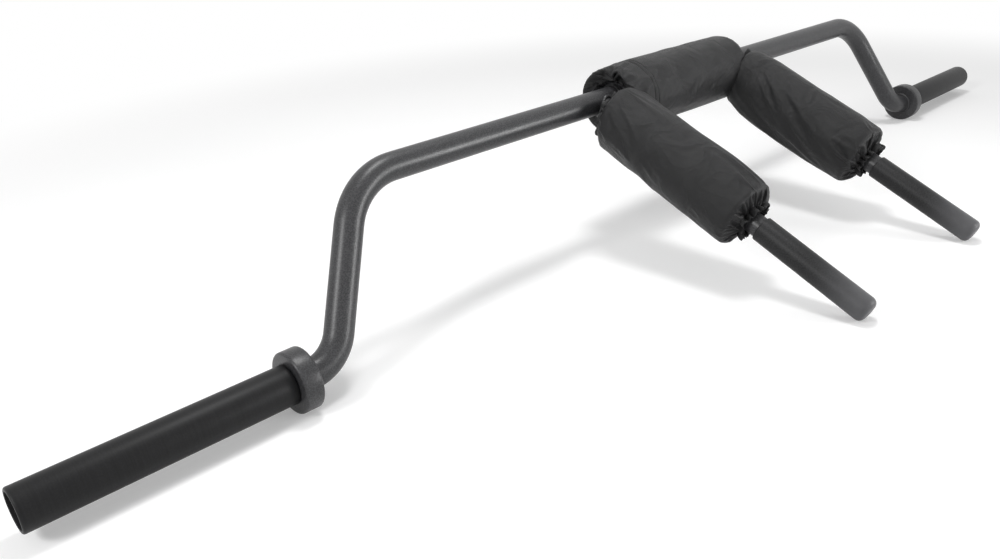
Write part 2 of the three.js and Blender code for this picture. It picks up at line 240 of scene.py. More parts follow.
def pathObject(name, points, closed, outward=None):  # a line of edges in metres
    mesh = bpy.data.meshes.new(name)
    last = len(points) if closed else len(points) - 1
    edges = [(i, (i + 1) % len(points)) for i in range(last)]
    mesh.from_pydata([tuple(p) for p in points], edges, [])
    if outward is not None:
        field = mesh.attributes.new("outward", "FLOAT_VECTOR", "POINT")
        field.data.foreach_set("vector", np.array(outward, np.float32).ravel())
    return newObject(name, mesh)


print("tools ready")


# Camera, at the photograph's place. It leans a little to the left, as the photograph does

view = {
    "place": (-1.228345, -0.680323, 0.575405), "right": (0.721347, -0.691031, -0.046197),
    "up": (0.326923, 0.280943, 0.902326), "back": (-0.610557, -0.665993, 0.428572), "lens": 31.348,
    "sensor": 36, "clipStart": 0.02, "clipEnd": 100,
}


def makeCamera():
    camera = newObject("camera", bpy.data.cameras.new("camera"))
    turn = Matrix((view["right"], view["up"], view["back"])).transposed().to_4x4()
    camera.matrix_world = Matrix.Translation(Vector(view["place"])) @ turn
    camera.data.lens = view["lens"]
    camera.data.sensor_width = view["sensor"]
    camera.data.clip_start = view["clipStart"]
    camera.data.clip_end = view["clipEnd"]
    camera.data.dof.use_dof = False
    scene.camera = camera


# Plain studio: a white floor that keeps a soft shadow, three soft lamps and an even room

studio = {
    "floorHalf": 30, "floorColour": "#e9e9e9", "floorLift": 0.25, "fadeFrom": 1.3, "fadeTo": 2.1,
    "roomStrength": 0.44, "backdropStrength": 1.0, "target": (-0.2, 0.1, 0.15),
}
lamps = {
    "key": {"place": (-0.1, 0.3, 2.3), "size": 0.5, "power": 22.5, "spread": 180},
    "side": {"place": (-2.6, 0.1, 1.62), "size": 0.6, "power": 26, "spread": 180},
    "front": {"place": (1.1, -1.85, 0.5), "size": 0.7, "power": 4.0, "spread": 60},
}


def backdropShare(tree):  # camera, glossy and transmission rays see the white background
    path = addNode(tree, "ShaderNodeLightPath")
    seen = maths(tree, "MAXIMUM", path.outputs["Is Camera Ray"], path.outputs["Is Glossy Ray"])
    return maths(tree, "MAXIMUM", seen, path.outputs["Is Transmission Ray"])


def makeStudio():
    world = bpy.data.worlds.new("room")
    scene.world = world
    world.use_nodes = True
    tree = world.node_tree
    tree.nodes.clear()
    strength = between(tree, backdropShare(tree), studio["roomStrength"], studio["backdropStrength"])
    light = output(tree, "ShaderNodeBackground", {"Color": linear("#ffffff"), "Strength": strength})
    addNode(tree, "ShaderNodeOutputWorld", {"Surface": light})

    half = studio["floorHalf"]
    mesh = bpy.data.meshes.new("floor")
    corners = [(-half, -half, 0), (half, -half, 0), (half, half, 0), (-half, half, 0)]
    mesh.from_pydata(corners, [], [(0, 1, 2, 3)])
    floor = newObject("floor", mesh)
    paper = bpy.data.materials.new("matt_paper_roll")
    paper.use_nodes = True
    tree = paper.node_tree
    tree.nodes.clear()
    matt = output(tree, "ShaderNodeBsdfDiffuse", {"Color": linear(studio["floorColour"])})
    lift = maths(tree, "MULTIPLY", backdropShare(tree), studio["floorLift"])
    glow = output(tree, "ShaderNodeEmission", {"Strength": lift})
    near = output(tree, "ShaderNodeAddShader", {0: matt, 1: glow})
    place = addNode(tree, "ShaderNodeTexCoord")
    away = addNode(tree, "ShaderNodeVectorMath", {0: place.outputs["Object"]}, operation="LENGTH")
    fade = eased(tree, away.outputs["Value"], studio["fadeFrom"], studio["fadeTo"])
    white = output(tree, "ShaderNodeEmission", {"Strength": 1.0})
    sweep = output(tree, "ShaderNodeMixShader", {0: fade, 1: near, 2: white})
    addNode(tree, "ShaderNodeOutputMaterial", {"Surface": sweep})
    floor.data.materials.append(paper)

    for name, look in lamps.items():
        lamp = bpy.data.lights.new(name, "AREA")
        lamp.shape = "SQUARE"
        lamp.size = look["size"]
        lamp.energy = look["power"]
        lamp.spread = math.radians(look["spread"])
        placed = newObject(name, lamp)
        aim = Vector(studio["target"]) - Vector(look["place"])
        placed.location = look["place"]
        placed.rotation_mode = "QUATERNION"
        placed.rotation_quaternion = aim.to_track_quat("-Z", "Y")

    scene.view_settings.view_transform = "Standard"


makeCamera()
makeStudio()
print("camera and studio ready")


# Finishes. Every pattern's size comes from a real one in millimetres


def newFinish(name):
    material = bpy.data.materials.new(name)
    material.use_nodes = True
    material.node_tree.nodes.clear()
    return material, material.node_tree


def patternSpace(tree, stretch=(1, 1, 1)):
    place = addNode(tree, "ShaderNodeTexCoord")
    return output(tree, "ShaderNodeMapping", {"Vector": place.outputs["Object"], "Scale": stretch})


fineDetail = 3
evenBump = 0.5


def ramp(tree, share, look):  # from the look's dark to its light colour
    node = addNode(tree, "ShaderNodeValToRGB", {"Fac": share})
    for element, position, label in zip(node.color_ramp.elements, look["ramp"], ("dark", "light")):
        element.position = position
        element.color = linear(look[label])
    return node.outputs["Color"]


def noise(tree, space, sizeMm, detail=2):
    return output(tree, "ShaderNodeTexNoise", {"Vector": space, "Scale": perMetre(sizeMm), "Detail": detail})


def bumped(tree, height, depthMm, strength=evenBump, below=None):
    inputs = {"Height": height, "Distance": depthMm * mm, "Strength": strength}
    if below is not None:
        inputs["Normal"] = below
    return output(tree, "ShaderNodeBump", inputs)


def closeFinish(tree, colour, roughness, normal, **constants):
    inputs = {"Base Color": colour, "Roughness": roughness, "Normal": normal}
    for label, value in constants.items():
        inputs[label.replace("_", " ")] = value
    shader = output(tree, "ShaderNodeBsdfPrincipled", inputs)
    addNode(tree, "ShaderNodeOutputMaterial", {"Surface": shader})


# Textured powder coat on steel: a dense sandy grain with paler specks and a broad soft gloss
# Its grain is drawn coarser than the real one, which is under half a millimetre
powderCoat = {"dark": "#202021", "light": "#3e3e40", "ramp": (0.1, 0.42), "grainMm": 1.3, "speckMm": 1.9,
              "depthMm": 0.14, "cloudMm": 60, "smooth": 0.33, "rough": 0.41, "specular": 0.42}


def powderCoatFinish(name, look):
    material, tree = newFinish(name)
    space = patternSpace(tree)
    grain = noise(tree, space, look["grainMm"], fineDetail)
    speck = addNode(tree, "ShaderNodeTexVoronoi", {"Vector": space, "Scale": perMetre(look["speckMm"])})
    colour = ramp(tree, maths(tree, "MULTIPLY", grain, speck.outputs["Distance"]), look)
    rough = between(tree, noise(tree, space, look["cloudMm"]), look["smooth"], look["rough"])
    closeFinish(tree, colour, rough, bumped(tree, grain, look["depthMm"]),
                Specular_IOR_Level=look["specular"])
    return material


# Satin black oxide on a turned sleeve: fine rings from the lathe under an even dark film
satinSleeve = {"dark": "#0f0f10", "light": "#19191a", "ramp": (0.12, 0.4), "ringMm": 1.8,
               "ringStretch": (1, 0.02, 0.02), "grainMm": 1.6, "depthMm": 0.1, "bump": 0.4,
               "smooth": 0.4, "rough": 0.52, "specular": 0.22}


def satinFinish(name, look):
    material, tree = newFinish(name)
    grain = noise(tree, patternSpace(tree), look["grainMm"])
    ring = noise(tree, patternSpace(tree, look["ringStretch"]), look["ringMm"], fineDetail)
    both = maths(tree, "MULTIPLY", ring, grain)
    rough = between(tree, ring, look["smooth"], look["rough"])
    closeFinish(tree, ramp(tree, both, look), rough, bumped(tree, both, look["depthMm"], look["bump"]),
                Specular_IOR_Level=look["specular"])
    return material


# Woven nylon: plain weave of thin threads, crumpled a little, with a low sheen
# The threads are drawn coarser than the real ones, which are about half a millimetre
nylon = {"dark": "#080808", "light": "#1f1f20", "ramp": (0.1, 0.9), "threadMm": 1.1, "depthMm": 0.26,
         "cloudMm": 32, "smooth": 0.42, "rough": 0.6, "sheen": 0.03, "sheenRoughness": 0.4, "specular": 0.27,
         "creaseMm": 46, "creaseDepthMm": 7.5, "creaseWarp": 0.6, "creaseDetail": 2.2}


def weaveHeight(tree, threadMm):
    flat = output(tree, "ShaderNodeUVMap", uv_map="clothMm")
    parts = addNode(tree, "ShaderNodeSeparateXYZ", {0: flat})
    waves = [maths(tree, "SINE", maths(tree, "MULTIPLY", parts.outputs[label], math.pi / threadMm))
             for label in ("X", "Y")]
    over = maths(tree, "GREATER_THAN", maths(tree, "MULTIPLY", *waves), 0.0)
    backs = [maths(tree, "ABSOLUTE", wave) for wave in waves]
    return output(tree, "ShaderNodeMix", {"Factor": over, "A": backs[0], "B": backs[1]}, data_type="FLOAT")


def nylonFinish(name, look):
    material, tree = newFinish(name)
    space = patternSpace(tree)
    weave = weaveHeight(tree, look["threadMm"])
    rough = between(tree, noise(tree, space, look["cloudMm"]), look["smooth"], look["rough"])
    crumple = output(tree, "ShaderNodeTexNoise", {
        "Vector": space, "Scale": perMetre(look["creaseMm"]), "Detail": look["creaseDetail"],
        "Distortion": look["creaseWarp"]})
    ridge = maths(tree, "ABSOLUTE", maths(tree, "SUBTRACT", crumple, 0.5))
    creased = bumped(tree, between(tree, ridge, 1, -1), look["creaseDepthMm"])
    closeFinish(tree, ramp(tree, weave, look), rough, bumped(tree, weave, look["depthMm"], below=creased),
                Sheen_Weight=look["sheen"], Sheen_Roughness=look["sheenRoughness"],
                Specular_IOR_Level=look["specular"])
    return material


# The plainer finishes are one grain each. The grip rubber is painted paler towards its outer end: a painted
# highlight where that end faces the bright floor and the front lamp
plainBase = {"ramp": (0.35, 0.68), "metallic": 0, "specular": 0.5}
plainColumns = ("dark", "light", "grainMm", "depthMm", "smooth", "rough")
plainLooks = {
    "moulded_grip_rubber": ("#0d0d0e", "#262627", 1.8, 0.3, 0.4, 0.55),
    "zinc_plated_steel": ("#4a4c4f", "#6a6c70", 2.4, 0.05, 0.32, 0.48),
    "sintered_bronze": ("#6b4a25", "#a87b45", 1.2, 0.1, 0.4, 0.6),
    "closed_cell_foam": ("#3d3e40", "#58595b", 2.2, 0.6, 0.85, 0.98),
    "knitted_elastic": ("#0f0f10", "#242426", 1.0, 0.3, 0.75, 0.9),
    "hook_and_loop_tape": ("#0d0d0e", "#29292b", 0.9, 0.5, 0.85, 0.98),
    "polyester_thread": ("#101011", "#232325", 0.6, 0.1, 0.5, 0.65),
}
plainExtras = {
    # The grip's paler outer end is a painted highlight, lighter towards -Y and broken into random patches
    "moulded_grip_rubber": {"paintedTipLight": "#5b5b5d", "paintedTipLightFrom": -0.17, "paintedTipLightTo": -0.262, "patchMm": 14,
                            "patchShare": 0.3, "specular": 0.27},
    "zinc_plated_steel": {"metallic": 1},
    "sintered_bronze": {"metallic": 1},
}


# Paints light onto the grip: its colour turns paler towards -Y, where the end faces the floor and the front
# lamp
def paintedTipLightColour(tree, space, unlitColour, look):
    forward = addNode(tree, "ShaderNodeSeparateXYZ", {0: space}).outputs["Y"]
    tipLitShare = eased(tree, forward, look["paintedTipLightFrom"], look["paintedTipLightTo"])
    patch = between(tree, noise(tree, space, look["patchMm"]), 1 - look["patchShare"], 1)
    mixed = {"Factor": maths(tree, "MULTIPLY", tipLitShare, patch), "A": unlitColour, "B": linear(look["paintedTipLight"])}
    return addNode(tree, "ShaderNodeMix", mixed, data_type="RGBA").outputs["Result"]


def plainFinish(name, look):
    material, tree = newFinish(name)
    space = patternSpace(tree)
    grain = noise(tree, space, look["grainMm"], fineDetail)
    colour = ramp(tree, grain, look)
    if "paintedTipLight" in look:
        colour = paintedTipLightColour(tree, space, colour, look)
    rough = between(tree, grain, look["smooth"], look["rough"])
    closeFinish(tree, colour, rough, bumped(tree, grain, look["depthMm"]),
                Metallic=look["metallic"], Specular_IOR_Level=look["specular"])
    return material


finishes = {}
for name, values in plainLooks.items():
    look = {**plainBase, **dict(zip(plainColumns, values)), **plainExtras.get(name, {})}
    finishes[name] = plainFinish(name, look)
finishes["textured_powder_coat"] = powderCoatFinish("textured_powder_coat", powderCoat)
finishes["satin_black_oxide"] = satinFinish("satin_black_oxide", satinSleeve)
finishes["woven_nylon"] = nylonFinish("woven_nylon", nylon)
print("finishes ready")


# Bent shaft, swept along its bent line by Geometry Nodes

shaft = {
    "radius": 19, "straightHalf": 652, "riserRun": 106, "upperBend": 100, "lowerBend": 60, "sides": 72,
    "bendSteps": 20, "upperCorners": 2.5, "cornerReach": 1.0,
}

shaftLow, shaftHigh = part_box("bar_shaft")
collarLow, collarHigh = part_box("left_collar")
neckY = shaftHigh.y - shaft["radius"] * mm
neckZ = shaftHigh.z - shaft["radius"] * mm
sleeveY = (collarLow.y + collarHigh.y) / 2
sleeveZ = (collarLow.z + collarHigh.z) / 2


def sweptTubeTree():
    tree, given = newTree("swept tube", {
        "Tube Radius": "Float", "Sides": "Int", "Upper Bend": "Float", "Lower Bend": "Float",
        "Bend Steps": "Int", "Finish": "Material"})
    line = output(tree, "GeometryNodeMeshToCurve", {"Mesh": given["Geometry"]})
    index = output(tree, "GeometryNodeInputIndex")
    upper = maths(tree, "COMPARE", index, shaft["upperCorners"], shaft["cornerReach"])
    bend = output(tree, "ShaderNodeMix", {
        "Factor": upper, "A": given["Lower Bend"], "B": given["Upper Bend"]}, data_type="FLOAT")
    bent = output(tree, "GeometryNodeFilletCurve", {
        "Curve": line, "Count": given["Bend Steps"], "Radius": bend}, mode="POLY")
    endTree(tree, sweptRound(tree, bent, given["Sides"], {}, given["Tube Radius"]), given["Finish"])
    return tree


def makeShaft():
    bend = (shaft["straightHalf"] + shaft["riserRun"]) * mm
    half = [(shaftHigh.x, sleeveY, sleeveZ), (bend, sleeveY, sleeveZ),
            (shaft["straightHalf"] * mm, neckY, neckZ)]
    corners = [(-x, y, z) for x, y, z in half] + half[::-1]
    made = grown("bent_shaft", pathObject("shaft line", corners, False), sweptTubeTree(), {
        "Tube Radius": shaft["radius"] * mm, "Sides": shaft["sides"], "Upper Bend": shaft["upperBend"] * mm,
        "Lower Bend": shaft["lowerBend"] * mm, "Bend Steps": shaft["bendSteps"],
        "Finish": finishes["textured_powder_coat"]})
    dressed(made, "textured_powder_coat", "powder_coat", "bar_shaft")


makeShaft()
print("shaft ready")


# Welds and elastics: a bead run along a line, its thickness rippling

bead = {"sides": 12, "collarRadius": 3.0, "collarPitch": 3.2, "collarInset": 0.3, "collarLift": 0.6,
        "ripple": 0.14, "armRadius": 3.2, "armPitch": 3.6, "stepsPerRipple": 5}


def beadTree():
    tree, given = newTree("rippled bead", {
        "Bead Radius": "Float", "Ripple Pitch": "Float", "Ripple Share": "Float", "Step": "Float",
        "Sides": "Int", "Finish": "Material"})
    even = evenSteps(tree, given["Geometry"], given["Step"])
    along = addNode(tree, "GeometryNodeSplineParameter")
    part = maths(tree, "FRACT", maths(tree, "DIVIDE", along.outputs["Length"], given["Ripple Pitch"]))
    fall = maths(tree, "MULTIPLY_ADD", part, given["Ripple Share"], 1.0)
    thick = maths(tree, "MULTIPLY", fall, given["Bead Radius"])
    endTree(tree, sweptRound(tree, even, given["Sides"], {"Scale": thick}, 1.0), given["Finish"])
    return tree


beads = beadTree()


def beadPiece(name, points, radiusMm, pitchMm, finish, rippleShare=-bead["ripple"]):
    return grown(name, pathObject("bead line", points, True), beads, {
        "Bead Radius": radiusMm * mm, "Ripple Pitch": pitchMm * mm, "Ripple Share": rippleShare,
        "Step": pitchMm * mm / bead["stepsPerRipple"], "Sides": bead["sides"],
        "Finish": finishes[finish]})


# What is on each end of the shaft: collar and its weld, washer, sleeve, and the disc and bolt in its mouth

collar = {"bore": 19.3, "edgeRound": 3.2, "seatRadius": 25.7, "seatDepth": 1, "smallRound": 0.3,
          "sides": 128}
sleeve = {"wall": 4.0, "rounds": (0, 0.5, 2.6, 0.9), "sides": 128}
washer = {"bore": 19.3, "rounds": (0.3, 0.3, 0.3, 0.3), "sides": 96}
plate = {"rounds": (0, 0.6, 0.6, 0), "bore": 5.3, "boltGap": 0.2, "sides": 96}
bolt = {"radius": 8.5, "shank": 5, "height": 5, "mouth": 4.55, "socket": 4.06, "mouthDepth": 0.3,
        "socketDepth": 3, "drillDepth": 3.6, "tip": 0.01, "sides": 60,
        "crown": [(0.42, 1.0), (0.7, 0.965), (0.88, 0.88), (0.97, 0.78), (1.0, 0.66)]}


def sizeOf(node):  # how far along X a round node goes, from the middle, and its radius, in mm
    low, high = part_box(node)
    return sorted((abs(low.x) / mm, abs(high.x) / mm)), (high.z - low.z) / 2 / mm


def hexShape(turn):
    half = math.pi / 6
    part = (turn + half) % (math.pi / 3) - half
    return math.cos(half) / math.cos(part)


def boltPiece(name, seat, place):
    top = seat + bolt["height"]
    foot = seat - bolt["shank"]
    count = bolt["sides"]
    outside = [(foot, bolt["tip"]), (foot, bolt["shank"]), (seat, bolt["shank"]), (seat, bolt["radius"])]
    outside += [(mix(seat, top, rise), bolt["radius"] * share) for rise, share in bolt["crown"]]
    socket = [(top, bolt["mouth"]), (top - bolt["mouthDepth"], bolt["socket"]),
              (top - bolt["socketDepth"], bolt["socket"])]
    rings = [circleAt(along, radius, count) for along, radius in outside]
    rings += [circleAt(along, radius, count, hexShape) for along, radius in socket]
    rings += [circleAt(top - bolt["drillDepth"], bolt["tip"], count)]
    mesh = lofted(name, rings, capped=True)
    mesh.transform(place)
    return newObject(name, tidied(mesh))


def makeEnd(side, sign):
    place = placeOf((0, sleeveY, sleeveZ), (sign, 0, 0), (0, 1, 0))
    coat = "textured_powder_coat"
    (inner, outer), radius = sizeOf(side + "_collar")
    seat = outer - collar["seatDepth"]
    ring = turnedPiece(side + "_collar_ring", [
        (inner, collar["bore"], collar["smallRound"]), (inner, radius, collar["edgeRound"]),
        (outer, radius, collar["edgeRound"]), (outer, collar["seatRadius"], collar["smallRound"]),
        (seat, collar["seatRadius"], collar["smallRound"]), (seat, collar["bore"], collar["smallRound"]),
    ], collar["sides"], place)
    dressed(ring, coat, "powder_coat", side + "_collar")

    ring = circleAt(inner - bead["collarInset"], shaft["radius"] + bead["collarLift"], collar["sides"])
    line = [place @ Vector(p) for p in ring]
    weld = beadPiece(side + "_collar_bead", line, bead["collarRadius"], bead["collarPitch"], coat)
    dressed(weld, coat, "powder_coat", side + "_collar_weld")

    span, radius = sizeOf(side + "_thrust_washer")
    ring = boredPiece(side + "_washer_ring", span, (washer["bore"], radius), washer["rounds"],
                      washer["sides"], place)
    dressed(ring, "zinc_plated_steel", "bare_steel", side + "_thrust_washer")

    span, radius = sizeOf(side + "_sleeve")
    tube = boredPiece(side + "_sleeve_tube", span, (radius - sleeve["wall"], radius), sleeve["rounds"],
                      sleeve["sides"], place)
    dressed(tube, "satin_black_oxide", "satin_sleeve", side + "_sleeve", body=side + "_sleeve_body")

    span, radius = sizeOf(side + "_end_plate")
    disc = boredPiece(side + "_end_disc", span, (plate["bore"], radius), plate["rounds"], plate["sides"],
                      place)
    dressed(disc, "zinc_plated_steel", "bare_steel", side + "_end_plate")
    head = boltPiece(side + "_end_screw", span[1] + plate["boltGap"], place)
    dressed(head, "zinc_plated_steel", "bare_steel", side + "_end_bolt")

    hidden = {"_inner_bushing": "sintered_bronze", "_outer_bushing": "sintered_bronze",
              "_end_plug": "zinc_plated_steel"}
    for label, finish in hidden.items():
        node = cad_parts[side + label]
        node.data.materials.clear()
        node.data.materials.append(finishes[finish])


for side, sign in sides.items():
    makeEnd(side, sign)
print("sleeves and collars ready")


# Arms: tube, saddle weld round its foot, and the grip. Lengths run along the arm from the shaft's axis

arm = {
    "spacing": 358, "lean": 24.5, "radius": 16, "from": 6, "end": 511, "rounds": (0, 0, 0, 0), "sides": 96,
    "gripFrom": 332, "gripTo": 518, "gripRadius": 18.9, "gripEdge": 1.6, "gripTip": 9, "weldLift": 1.0,
}


def armPlace(sign):
    lean = math.radians(arm["lean"])
    origin = (sign * arm["spacing"] / 2 * mm, neckY, neckZ)
    return placeOf(origin, (0, -math.cos(lean), -math.sin(lean)), (1, 0, 0))


def footLine(place, lift):  # where the arm's tube meets the shaft, as a closed line
    reach = arm["radius"] + lift
    around = shaft["radius"] + lift
    line = []
    for i in range(arm["sides"]):
        turn = fullTurn * i / arm["sides"]
        across, up = reach * math.cos(turn), reach * math.sin(turn)
        line.append(place @ Vector((across * mm, up * mm, math.sqrt(around ** 2 - up ** 2) * mm)))
    return line


def makeArm(side, sign):
    place = armPlace(sign)
    coat = "textured_powder_coat"
    tube = boredPiece(side + "_arm_tube", (arm["from"], arm["end"]), (0, arm["radius"]), arm["rounds"],
                      arm["sides"], place)
    dressed(tube, coat, "powder_coat", side + "_arm")
    line = footLine(place, arm["weldLift"])
    weld = beadPiece(side + "_arm_bead", line, bead["armRadius"], bead["armPitch"], coat)
    dressed(weld, coat, "powder_coat", side + "_arm_weld")
    grip = turnedPiece(side + "_grip_sleeve", [
        (arm["gripFrom"], arm["radius"], 0), (arm["gripFrom"], arm["gripRadius"], arm["gripEdge"]),
        (arm["gripTo"], arm["gripRadius"], arm["gripTip"]), (arm["gripTo"], 0, 0), (arm["end"], 0, 0),
        (arm["end"], arm["radius"], 0),
    ], arm["sides"], place)
    dressed(grip, "moulded_grip_rubber", "grip_rubber", side + "_grip")


for side, sign in sides.items():
    makeArm(side, sign)
print("arms and grips ready")


# Padded covers: tubes of cloth whose elastic hems draw their ends in, settled on their foam by simulation

cover = {
    "columns": 192, "hemRowMm": 2.2, "endRowMm": 2.4, "middleRowMm": 3.8, "endZoneMm": 58,
    "thicknessMm": 1.2, "simScale": 10, "gatherFrames": 26, "settleFrames": 14, "hemZoneMm": 42,
    "friction": 10, "apartMm": 0.9, "pull": 2.0,
}
clothSettings = {
    "quality": 7, "mass": 0.2, "tension_stiffness": 24, "compression_stiffness": 24, "shear_stiffness": 8,
    "bending_stiffness": 0.7, "bending_stiffness_max": 4, "vertex_group_bending": "body", "air_damping": 2,
    "vertex_group_mass": "pins",
}
pleat = {"lean": 0.7, "leanShare": 0.6, "power": 1.4, "rise": 0.45, "riseFall": 0.3, "swayMm": 0.8,
         "sways": 3, "frillMm": 0.8, "frillReachMm": 2, "hemDrawn": 0.85}
lumps = {"count": 7, "turns": (1, 4), "sizesMm": (45, 100), "stepMm": 8, "softFrom": 0.6, "softTo": 0.95,
         "sides": 96}

# A cover's skin is the line that its cloth follows from one elastic to the other, as (along, radius) in mm.
# Its form is the line of the padding under it. Turns are in degrees round the pad
neckPlace = placeOf((0, neckY, neckZ), (1, 0, 0), (0, 1, 0))
neckCover = {
    "node": "neck_cover", "place": neckPlace, "inward": 0,
    "skin": [(-148, 23), (-153, 33), (-160, 43), (-164, 49), (-163, 51.5), (-157, 52.8), (-130, 53.8),
             (-113, 54.6), (0, 55.2), (150, 55), (159, 53), (164, 47), (162, 38), (155, 30), (148, 23)],
    "form": [(-200, 19.3), (-145, 19.3), (-146, 22), (-152, 33), (-158, 42), (-161.5, 47), (-161, 49.4),
             (-156, 50.8), (-130, 52), (-106, 53.2), (-104, 54.2), (0, 54.4), (152, 54), (159, 52),
             (162, 46), (160, 37), (153, 29), (146, 22), (145, 19.3), (200, 19.3)],
    "rings": (-148, 148), "hems": (9, 9), "flares": (4, 4), "mouth": 22.5, "ease": 1.0, "slackMm": 4,
    "pleats": 15, "uneven": 0.6, "twist": 3, "pull": 249, "sag": 3.6, "sagFrom": -600, "sagTo": 600,
    "lumpMm": 0.6, "tilt": 20, "tiltAt": 305, "seamTurn": 300, "panel": (-109, -100.5), "seed": 11,
}
armCover = {
    "skin": [(50, 20), (47, 36), (46, 44), (48, 48), (54, 50.4), (180, 52), (290, 53), (300, 52), (305, 46),
             (307, 36), (308, 28), (311, 20)],
    "form": [(20, 16.4), (54, 16.4), (49, 34), (47, 43), (48, 46.5), (51, 48.6), (57, 49.6), (180, 50.8),
             (290, 52), (298, 51.2), (301.5, 48.5), (301.5, 44), (299, 36), (297, 26), (296, 16.4),
             (345, 16.4)],
    "rings": (50, 311), "hems": (20, 12), "flares": (14, 5), "mouth": 18.4, "slackMm": 7, "pleats": 15,
    "uneven": 0.5, "sag": 1.0, "lumpMm": 1.6, "tilt": 12, "tiltAt": 90, "seamTurn": 285, "panel": (),
}
covers = {
    "neck_pad_cover": neckCover,
    "left_arm_pad_cover": {
        **armCover, "node": "left_arm_cover", "place": armPlace(sides["left"]), "inward": 1, "ease": 1.4,
        "twist": 9, "pull": 57, "sagFrom": 170, "sagTo": 400, "seed": 4},
    "right_arm_pad_cover": {
        **armCover, "node": "right_arm_cover", "place": armPlace(sides["right"]), "inward": -1, "ease": 2.4,
        "twist": 20, "pull": 237, "sagFrom": 20, "sagTo": 240, "seed": 9},
}

neckReach = {"radius": 56, "blendFrom": 8, "blendTo": 20}
tiltFadeMm = 45


def lengthOf(points):
    return sum(math.dist(a, b) for a, b in zip(points, points[1:]))


def smoothShare(low, high, value):
    share = min(1, max(0, (value - low) / (high - low)))
    return share * share * (3 - 2 * share)


def widest(line):
    return max(radius for _, radius in line)


def hemRows(look, end):
    return round(look["hems"][end] / cover["hemRowMm"])


def stationsOf(look):  # where the rows of the flat cloth lie along its length, with closer rows at the ends
    rear, front = look["hems"]
    whole = lengthOf(look["skin"]) + rear + front + 2 * look["slackMm"]
    first, last = rear + cover["endZoneMm"], whole - front - cover["endZoneMm"]
    endRows = round(cover["endZoneMm"] / cover["endRowMm"])
    spans = [(0, rear, hemRows(look, 0)), (rear, first, endRows),
             (first, last, round((last - first) / cover["middleRowMm"])),
             (last, whole - front, endRows), (whole - front, whole, hemRows(look, 1))]
    stations = [mix(low, high, i / steps) for low, high, steps in spans for i in range(steps)]
    return stations + [whole]


def tilted(look, across, up, along):
    # the first end of a cover leans; an arm pad's stays clear of the neck pad's end
    at = math.radians(look["tiltAt"])
    inward = look["inward"]
    lean = (across * math.cos(at) + up * math.sin(at)) / widest(look["skin"])
    fade = 1 - smoothShare(0, tiltFadeMm, along - look["rings"][0])
    shifted = along - look["tilt"] * (max(0, lean) if inward else min(0, lean)) * fade
    gap = neckReach["radius"] ** 2 - up ** 2
    clear = math.sqrt(gap) if gap > 0 else 0
    near = smoothShare(neckReach["blendFrom"], neckReach["blendTo"], inward * across)
    return mix(shifted, max(shifted, clear), near)


def swayOf(look, along):  # how far the padding leans to its slack side here
    middle, half = (look["sagFrom"] + look["sagTo"]) / 2, (look["sagTo"] - look["sagFrom"]) / 2
    return look["sag"] * math.cos(min(1, abs(along - middle) / half) * math.pi / 2) ** 2


def formRings(look):  # the padding, with shallow lumps
    draw = random.Random(look["seed"])
    waves = [(draw.randint(*lumps["turns"]), draw.uniform(*lumps["sizesMm"]), draw.random() * fullTurn,
              draw.random() * fullTurn) for _ in range(lumps["count"])]
    pull = math.radians(look["pull"])
    full = widest(look["form"])
    profile = []
    for low, high in zip(look["form"], look["form"][1:]):
        steps = max(1, int(math.dist(low, high) / lumps["stepMm"]))
        profile += [(mix(low[0], high[0], i / steps), mix(low[1], high[1], i / steps)) for i in range(steps)]
    profile.append(look["form"][-1])
    rings = []
    for along, radius in profile:
        ring = []
        soft = smoothShare(full * lumps["softFrom"], full * lumps["softTo"], radius)
        for i in range(lumps["sides"]):
            turn = fullTurn * i / lumps["sides"]
            lump = sum(math.sin(k * turn + a) * math.sin(fullTurn * along / size + b)
                       for k, size, a, b in waves)
            sway = swayOf(look, along) * math.cos(turn - pull)
            reach = radius + soft * (look["lumpMm"] * lump / 2 + sway)
            across, up = reach * math.cos(turn), reach * math.sin(turn)
            ring.append((across * mm, up * mm, tilted(look, across, up, along) * mm))
        rings.append(ring)
    return rings


def gatheredRing(look, draw, flatLength):
    # how far each column stands out, and its turn, where the elastic has drawn the cloth into pleats
    widths = [1 + look["uneven"] * (2 * draw.random() - 1) for _ in range(look["pleats"])]
    widths = [w / sum(widths) for w in widths]
    leans = [pleat["lean"] * (2 * draw.random() - 1) for _ in widths]
    starts = np.concatenate(([0], np.cumsum(widths)))
    ring = []
    for column in range(cover["columns"]):
        share = column / cover["columns"]
        k = min(int(np.searchsorted(starts, share, "right")) - 1, len(widths) - 1)
        part = (share - starts[k]) / widths[k]
        crest = math.sin(math.pi * part)
        lean = leans[k] * widths[k] * crest ** 2 * pleat["leanShare"]
        rise = pleat["rise"] * flatLength * widths[k]
        ring.append((rise * crest ** pleat["power"], fullTurn * (share + lean)))
    return ring


